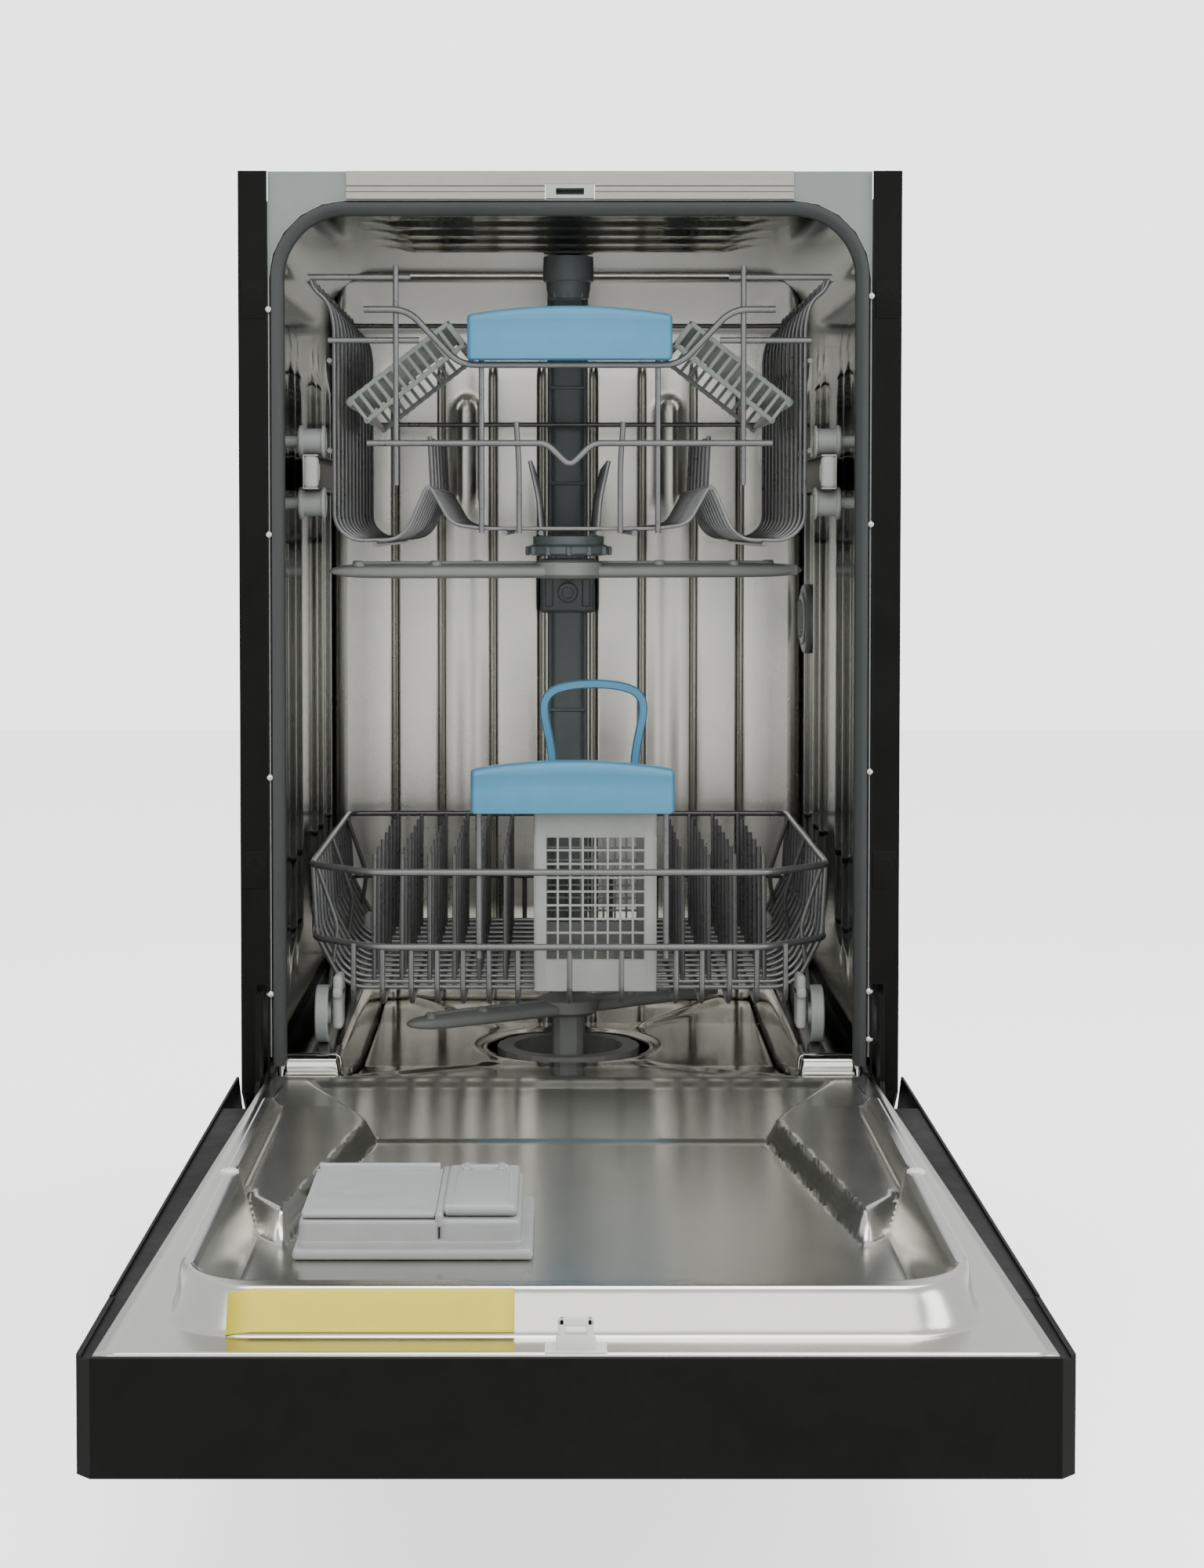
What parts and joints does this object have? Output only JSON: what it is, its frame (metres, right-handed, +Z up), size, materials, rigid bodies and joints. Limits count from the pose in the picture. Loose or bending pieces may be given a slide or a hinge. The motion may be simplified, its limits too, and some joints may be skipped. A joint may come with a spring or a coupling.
{
  "type": "built-in dishwasher",
  "caption": "Slimline built-in dishwasher with drop-down door, stainless tub, sliding upper and lower wire racks, spray arms, cutlery basket and dispenser, door open",
  "frame": {"origin": "on the floor, under the middle of the open dishwasher's footprint", "axes": "+Z up, the door opens towards -Y, +X to the right of someone facing it"},
  "size_m": [0.448, 1.178, 0.815],
  "materials": {
    "stainless": "polished stainless sheet",
    "satin_steel": "satin strip",
    "frame_grey": "satin grey coating",
    "black_steel": "satin black powder coat",
    "zinc": "zinc plated",
    "black_plastic": "satin black moulding",
    "base_plastic": "matt dark moulding",
    "grey_plastic": "satin grey moulding",
    "dispenser_grey": "satin light grey moulding",
    "pale_plastic": "satin pale grey moulding",
    "clear_plastic": "frosted translucent moulding",
    "blue_plastic": "satin blue moulding",
    "rack_wire": "grey coated wire",
    "seal_rubber": "matt dark seal",
    "felt": "matt felt blanket"
  },
  "bodies": {
    "cabinet": {"tub_shell": "stainless", "tub_floor": "stainless", "tub_back_wall": "stainless", "front_frame": "frame_grey", "top_crosspiece": "satin_steel", "latch_housing": "grey_plastic", "door_gasket": "seal_rubber", "side_panel_left": "black_steel", "side_panel_right": "black_steel", "insulation_blanket": "felt", "base_pan": "base_plastic", "toe_kick_panel": "black_steel", "sump": "base_plastic", "lower_arm_post": "grey_plastic", "circulation_pump": "base_plastic", "inlet_valve": "pale_plastic", "junction_box": "zinc", "feed_column": "grey_plastic", "top_sprayer": "grey_plastic", "vent_cap": "clear_plastic", "hinge_unit_left": "zinc", "hinge_unit_right": "zinc", "drain_pump": "base_plastic"},
    "filter": {"filter_cartridge": "pale_plastic"},
    "lower_arm": {"lower_spray_arm": "grey_plastic"},
    "upper_rack": {"upper_rack_frame": "rack_wire", "upper_rack_handle": "blue_plastic", "upper_arm_duct": "grey_plastic"},
    "upper_arm": {"upper_spray_arm": "grey_plastic"},
    "lower_rack": {"lower_rack_frame": "rack_wire", "lower_rack_handle": "blue_plastic"},
    "basket": {"cutlery_basket": "pale_plastic"},
    "basket_loop": {"basket_handle": "blue_plastic"},
    "door": {"door_inner_liner": "stainless", "door_outer_panel": "black_steel", "control_panel": "black_plastic", "dispenser_body": "dispenser_grey", "door_latch": "dispenser_grey", "hinge_arm_left": "black_steel", "hinge_arm_right": "black_steel"},
    "detergent_flap": {"detergent_lid": "dispenser_grey"},
    "rinse_flap": {"rinse_aid_lid": "dispenser_grey"},
    "power_key": {"power_button": "black_plastic"},
    "start_key": {"start_button": "black_plastic"},
    "levelling_foot_1": {"foot_1": "grey_plastic"},
    "levelling_foot_2": {"foot_2": "grey_plastic"},
    "levelling_foot_3": {"foot_3": "grey_plastic"},
    "levelling_foot_4": {"foot_4": "grey_plastic"},
    "rail_left": {"rack_rail_left": "satin_steel"},
    "roller_upper_left": {"rail_roller_upper_left": "pale_plastic"},
    "roller_lower_left": {"rail_roller_lower_left": "pale_plastic"},
    "wheel_front_left": {"lower_wheel_front_left": "pale_plastic"},
    "wheel_rear_left": {"lower_wheel_rear_left": "pale_plastic"},
    "shelf_left": {"cup_shelf_left": "clear_plastic"},
    "rail_right": {"rack_rail_right": "satin_steel"},
    "roller_upper_right": {"rail_roller_upper_right": "pale_plastic"},
    "roller_lower_right": {"rail_roller_lower_right": "pale_plastic"},
    "wheel_front_right": {"lower_wheel_front_right": "pale_plastic"},
    "wheel_rear_right": {"lower_wheel_rear_right": "pale_plastic"},
    "shelf_right": {"cup_shelf_right": "clear_plastic"}
  },
  "joints": [
    {"name": "door_hinge", "type": "hinge", "parent": "cabinet", "child": "door", "pos_m": [0, 0.043, 0.18], "axis": [1, 0, 0], "range_deg": [-90, 0]},
    {"name": "upper_rack_slide", "type": "slide", "parent": "cabinet", "child": "upper_rack", "axis": [0, -1, 0], "range_m": [0, 0.4]},
    {"name": "lower_rack_slide", "type": "slide", "parent": "cabinet", "child": "lower_rack", "axis": [0, -1, 0], "range_m": [0, 0.4]},
    {"name": "lower_arm_spin", "type": "hinge", "parent": "cabinet", "child": "lower_arm", "pos_m": [0, 0.367, 0.198], "axis": [0, 0, 1], "continuous": true},
    {"name": "upper_arm_spin", "type": "hinge", "parent": "upper_rack", "child": "upper_arm", "pos_m": [0, 0.309, 0.542], "axis": [0, 0, 1], "continuous": true},
    {"name": "filter_twist", "type": "hinge", "parent": "cabinet", "child": "filter", "pos_m": [0, 0.367, 0.13], "axis": [0, 0, 1], "range_deg": [0, 90]},
    {"name": "basket_lift", "type": "slide", "parent": "lower_rack", "child": "basket", "axis": [0, 0, 1], "range_m": [0, 0.06]},
    {"name": "basket_handle_fold", "type": "hinge", "parent": "basket", "child": "basket_loop", "pos_m": [0.018, 0.216, 0.3669], "axis": [-1, 0, 0], "range_deg": [0, 75]},
    {"name": "detergent_lid_flip", "type": "hinge", "parent": "door", "child": "detergent_flap", "pos_m": [-0.106, -0.291, 0.2215], "axis": [1, 0, 0], "range_deg": [-95, 0]},
    {"name": "rinse_aid_lid_flip", "type": "hinge", "parent": "door", "child": "rinse_flap", "pos_m": [-0.0485, -0.384, 0.2215], "axis": [1, 0, 0], "range_deg": [0, 90]},
    {"name": "power_button_press", "type": "slide", "parent": "door", "child": "power_key", "axis": [0, 0, 1], "range_m": [0, 0.002], "stiffness_N_per_m": 300},
    {"name": "start_button_press", "type": "slide", "parent": "door", "child": "start_key", "axis": [0, 0, 1], "range_m": [0, 0.002], "stiffness_N_per_m": 300},
    {"name": "foot_1_screw", "type": "slide", "parent": "cabinet", "child": "levelling_foot_1", "axis": [0, 0, -1], "range_m": [0, 0.05]},
    {"name": "foot_2_screw", "type": "slide", "parent": "cabinet", "child": "levelling_foot_2", "axis": [0, 0, -1], "range_m": [0, 0.05]},
    {"name": "foot_3_screw", "type": "slide", "parent": "cabinet", "child": "levelling_foot_3", "axis": [0, 0, -1], "range_m": [0, 0.05]},
    {"name": "foot_4_screw", "type": "slide", "parent": "cabinet", "child": "levelling_foot_4", "axis": [0, 0, -1], "range_m": [0, 0.05]},
    {"name": "rail_left_slide", "type": "slide", "parent": "cabinet", "child": "rail_left", "axis": [0, -1, 0], "range_m": [0, 0.2]},
    {"name": "roller_upper_left_turn", "type": "hinge", "parent": "cabinet", "child": "roller_upper_left", "pos_m": [-0.178, 0.119, 0.6343], "axis": [1, 0, 0], "continuous": true},
    {"name": "roller_lower_left_turn", "type": "hinge", "parent": "cabinet", "child": "roller_lower_left", "pos_m": [-0.178, 0.119, 0.5917], "axis": [1, 0, 0], "continuous": true},
    {"name": "wheel_front_left_turn", "type": "hinge", "parent": "lower_rack", "child": "wheel_front_left", "pos_m": [-0.173, 0.129, 0.2338], "axis": [1, 0, 0], "continuous": true},
    {"name": "wheel_rear_left_turn", "type": "hinge", "parent": "lower_rack", "child": "wheel_rear_left", "pos_m": [-0.173, 0.435, 0.2338], "axis": [1, 0, 0], "continuous": true},
    {"name": "cup_shelf_left_fold", "type": "hinge", "parent": "upper_rack", "child": "shelf_left", "pos_m": [-0.154, 0.232, 0.662], "axis": [0, 1, 0], "range_deg": [-45, 38]},
    {"name": "rail_right_slide", "type": "slide", "parent": "cabinet", "child": "rail_right", "axis": [0, -1, 0], "range_m": [0, 0.2]},
    {"name": "roller_upper_right_turn", "type": "hinge", "parent": "cabinet", "child": "roller_upper_right", "pos_m": [0.178, 0.119, 0.6343], "axis": [1, 0, 0], "continuous": true},
    {"name": "roller_lower_right_turn", "type": "hinge", "parent": "cabinet", "child": "roller_lower_right", "pos_m": [0.178, 0.119, 0.5917], "axis": [1, 0, 0], "continuous": true},
    {"name": "wheel_front_right_turn", "type": "hinge", "parent": "lower_rack", "child": "wheel_front_right", "pos_m": [0.173, 0.129, 0.2338], "axis": [1, 0, 0], "continuous": true},
    {"name": "wheel_rear_right_turn", "type": "hinge", "parent": "lower_rack", "child": "wheel_rear_right", "pos_m": [0.173, 0.435, 0.2338], "axis": [1, 0, 0], "continuous": true},
    {"name": "cup_shelf_right_fold", "type": "hinge", "parent": "upper_rack", "child": "shelf_right", "pos_m": [0.154, 0.232, 0.662], "axis": [0, -1, 0], "range_deg": [-45, 38]}
  ],
  "couplings": [
    {"joint": "rail_left_slide", "follows": "upper_rack_slide", "ratio": 0.5},
    {"joint": "roller_upper_left_turn", "follows": "upper_rack_slide", "rad_per_m": -53.763},
    {"joint": "roller_lower_left_turn", "follows": "upper_rack_slide", "rad_per_m": 53.763},
    {"joint": "wheel_front_left_turn", "follows": "lower_rack_slide", "rad_per_m": 50},
    {"joint": "wheel_rear_left_turn", "follows": "lower_rack_slide", "rad_per_m": 50},
    {"joint": "rail_right_slide", "follows": "upper_rack_slide", "ratio": 0.5},
    {"joint": "roller_upper_right_turn", "follows": "upper_rack_slide", "rad_per_m": -53.763},
    {"joint": "roller_lower_right_turn", "follows": "upper_rack_slide", "rad_per_m": 53.763},
    {"joint": "wheel_front_right_turn", "follows": "lower_rack_slide", "rad_per_m": 50},
    {"joint": "wheel_rear_right_turn", "follows": "lower_rack_slide", "rad_per_m": 50}
  ]
}
